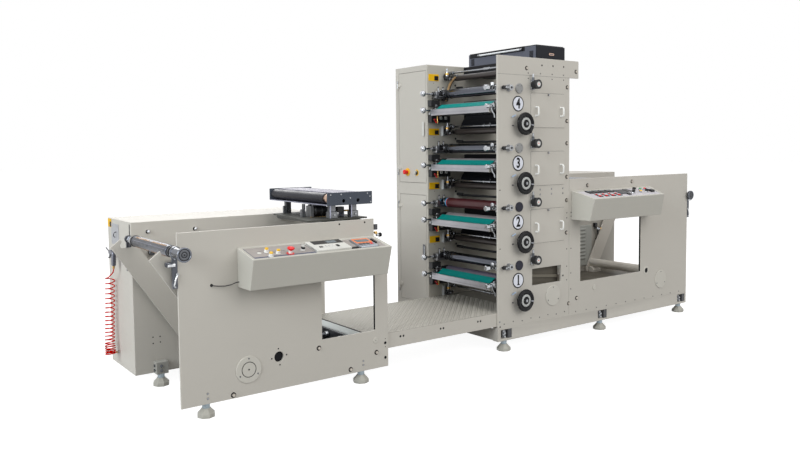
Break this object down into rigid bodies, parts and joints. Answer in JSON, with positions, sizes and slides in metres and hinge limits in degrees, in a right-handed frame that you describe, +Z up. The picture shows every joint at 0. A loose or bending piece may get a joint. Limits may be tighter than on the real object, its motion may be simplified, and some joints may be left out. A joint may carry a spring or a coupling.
{
  "type": "flexographic printing press",
  "caption": "Roll-fed flexographic label press: unwind unit, web guide, walkway, vertical printing stack with inking stations, rewind unit, consoles and cabinet.",
  "frame": {"origin": "middle of the footprint, on the floor under the levelling feet", "axes": "+X along the web from the unwind end to the rewind end, +Y from the operator's side to the drive side, +Z up"},
  "size_m": [5.029, 1.573, 2.34],
  "materials": {
    "cream_paint": "satin powder coat",
    "grey_paint": "satin powder coat",
    "dark_paint": "satin dark grey paint",
    "black_paint": "matt black paint",
    "steel": "brushed",
    "chrome": "polished",
    "blanket": "smooth ground rubber",
    "roller_rubber": "smooth ground rubber",
    "ink_sleeve": "engraved sleeve",
    "tray": "extruded",
    "controls": "moulded",
    "wheel": "moulded",
    "disc_white": "printed plate",
    "plate_yellow": "printed plate",
    "lead": "cable sheath",
    "hose": "polyurethane",
    "gun": "cast and polished"
  },
  "bodies": {
    "machine": {"unwind_front_plate": "cream_paint", "unwind_back_box": "cream_paint", "consoles": "grey_paint", "console_controls": "controls", "guide_base": "dark_paint", "shaft_brackets": "steel", "tie_bars": "steel", "round_covers": "cream_paint", "level_feet": "steel", "walkway": "cream_paint", "tower_front_plate": "cream_paint", "base_beam": "cream_paint", "tower_back_wall": "cream_paint", "access_covers": "cream_paint", "number_discs": "disc_white", "register_controls": "controls", "bearing_heads": "steel", "ink_trays": "tray", "wall_fittings": "steel", "dryer_boxes": "black_paint", "exhaust_hood": "dark_paint", "lamp_tube": "dark_paint", "electrical_cabinet": "cream_paint", "rewind_front_plate": "cream_paint", "rewind_back_box": "cream_paint", "louvre_box": "grey_paint", "label_plates": "plate_yellow", "console_lead": "lead", "end_fittings": "steel", "air_gun": "gun", "hose_tail": "hose", "hose_coil": "hose"},
    "unwind_arms": {"unwind_lift_arms": "cream_paint"},
    "rewind_arms": {"rewind_lift_arms": "cream_paint"},
    "unwind_reel_shaft": {"unwind_air_shaft": "steel"},
    "rewind_reel_shaft": {"rewind_air_shaft": "steel"},
    "web_guide": {"guide_frame": "dark_paint"},
    "web_guide_roller_1": {"guide_roller_1": "roller_rubber"},
    "web_guide_roller_2": {"guide_roller_2": "roller_rubber"},
    "pressure_wheel_1": {"handwheel_1": "wheel"},
    "pressure_wheel_2": {"handwheel_2": "wheel"},
    "pressure_wheel_3": {"handwheel_3": "wheel"},
    "pressure_wheel_4": {"handwheel_4": "wheel"},
    "plate_cylinder_1": {"print_cylinder_1": "chrome"},
    "plate_cylinder_2": {"print_cylinder_2": "blanket"},
    "plate_cylinder_3": {"print_cylinder_3": "chrome"},
    "plate_cylinder_4": {"print_cylinder_4": "chrome"},
    "inking_roller_1": {"ink_roller_1": "ink_sleeve"},
    "inking_roller_2": {"ink_roller_2": "ink_sleeve"},
    "inking_roller_3": {"ink_roller_3": "ink_sleeve"},
    "inking_roller_4": {"ink_roller_4": "ink_sleeve"},
    "web_roller_1": {"idle_roller_1": "roller_rubber"},
    "web_roller_2": {"idle_roller_2": "roller_rubber"},
    "web_roller_3": {"idle_roller_3": "roller_rubber"},
    "web_roller_4": {"idle_roller_4": "roller_rubber"},
    "upper_door": {"cabinet_upper_door": "cream_paint", "door_fittings": "controls"},
    "lower_door": {"cabinet_lower_door": "cream_paint"}
  },
  "joints": [
    {"name": "unwind_arms_lift", "type": "hinge", "parent": "machine", "child": "unwind_arms", "pos_m": [-1.9605, -0.1235, 0.237], "axis": [0, -1, 0], "range_deg": [0, 50]},
    {"name": "rewind_arms_lift", "type": "hinge", "parent": "machine", "child": "rewind_arms", "pos_m": [2.0545, -0.1235, 0.344], "axis": [0, 1, 0], "range_deg": [0, 50]},
    {"name": "unwind_shaft_spin", "type": "hinge", "parent": "machine", "child": "unwind_reel_shaft", "pos_m": [-2.3895, -0.1465, 0.975], "axis": [0, 1, 0], "continuous": true},
    {"name": "rewind_shaft_spin", "type": "hinge", "parent": "machine", "child": "rewind_reel_shaft", "pos_m": [2.4635, -0.1465, 1.08], "axis": [0, 1, 0], "continuous": true},
    {"name": "web_guide_swivel", "type": "hinge", "parent": "machine", "child": "web_guide", "pos_m": [-1.2075, -0.1075, 1.16], "axis": [0, 0, 1], "range_deg": [-4, 4]},
    {"name": "web_guide_roller_1_spin", "type": "hinge", "parent": "web_guide", "child": "web_guide_roller_1", "pos_m": [-1.3395, -0.1075, 1.221], "axis": [0, 1, 0], "continuous": true},
    {"name": "web_guide_roller_2_spin", "type": "hinge", "parent": "web_guide", "child": "web_guide_roller_2", "pos_m": [-1.0755, -0.1075, 1.221], "axis": [0, 1, 0], "continuous": true},
    {"name": "handwheel_1_turn", "type": "hinge", "parent": "machine", "child": "pressure_wheel_1", "pos_m": [0.3025, -0.5665, 0.374], "axis": [0, 1, 0], "continuous": true},
    {"name": "handwheel_2_turn", "type": "hinge", "parent": "machine", "child": "pressure_wheel_2", "pos_m": [0.3025, -0.5665, 0.82], "axis": [0, 1, 0], "continuous": true},
    {"name": "handwheel_3_turn", "type": "hinge", "parent": "machine", "child": "pressure_wheel_3", "pos_m": [0.3025, -0.5665, 1.266], "axis": [0, 1, 0], "continuous": true},
    {"name": "handwheel_4_turn", "type": "hinge", "parent": "machine", "child": "pressure_wheel_4", "pos_m": [0.3025, -0.5665, 1.712], "axis": [0, 1, 0], "continuous": true},
    {"name": "print_cylinder_1_spin", "type": "hinge", "parent": "machine", "child": "plate_cylinder_1", "pos_m": [0.2155, -0.1265, 0.64], "axis": [0, 1, 0], "continuous": true},
    {"name": "print_cylinder_2_spin", "type": "hinge", "parent": "machine", "child": "plate_cylinder_2", "pos_m": [0.2155, -0.1265, 1.086], "axis": [0, 1, 0], "continuous": true},
    {"name": "print_cylinder_3_spin", "type": "hinge", "parent": "machine", "child": "plate_cylinder_3", "pos_m": [0.2155, -0.1265, 1.532], "axis": [0, 1, 0], "continuous": true},
    {"name": "print_cylinder_4_spin", "type": "hinge", "parent": "machine", "child": "plate_cylinder_4", "pos_m": [0.2155, -0.1265, 1.978], "axis": [0, 1, 0], "continuous": true},
    {"name": "ink_roller_1_spin", "type": "hinge", "parent": "machine", "child": "inking_roller_1", "pos_m": [0.2105, -0.1265, 0.523], "axis": [0, 1, 0], "continuous": true},
    {"name": "ink_roller_2_spin", "type": "hinge", "parent": "machine", "child": "inking_roller_2", "pos_m": [0.2105, -0.1265, 0.969], "axis": [0, 1, 0], "continuous": true},
    {"name": "ink_roller_3_spin", "type": "hinge", "parent": "machine", "child": "inking_roller_3", "pos_m": [0.2105, -0.1265, 1.415], "axis": [0, 1, 0], "continuous": true},
    {"name": "ink_roller_4_spin", "type": "hinge", "parent": "machine", "child": "inking_roller_4", "pos_m": [0.2105, -0.1265, 1.861], "axis": [0, 1, 0], "continuous": true},
    {"name": "idle_roller_1_spin", "type": "hinge", "parent": "machine", "child": "web_roller_1", "pos_m": [0.3375, -0.1265, 0.778], "axis": [0, 1, 0], "continuous": true},
    {"name": "idle_roller_2_spin", "type": "hinge", "parent": "machine", "child": "web_roller_2", "pos_m": [0.3375, -0.1265, 1.224], "axis": [0, 1, 0], "continuous": true},
    {"name": "idle_roller_3_spin", "type": "hinge", "parent": "machine", "child": "web_roller_3", "pos_m": [0.3375, -0.1265, 1.67], "axis": [0, 1, 0], "continuous": true},
    {"name": "idle_roller_4_spin", "type": "hinge", "parent": "machine", "child": "web_roller_4", "pos_m": [0.3375, -0.1265, 2.116], "axis": [0, 1, 0], "continuous": true},
    {"name": "upper_door_hinge", "type": "hinge", "parent": "machine", "child": "upper_door", "pos_m": [0.0565, 0.6825, 1.71], "axis": [0, 0, -1], "range_deg": [0, 110]},
    {"name": "lower_door_hinge", "type": "hinge", "parent": "machine", "child": "lower_door", "pos_m": [0.0565, 0.6825, 0.692], "axis": [0, 0, -1], "range_deg": [0, 110]}
  ]
}
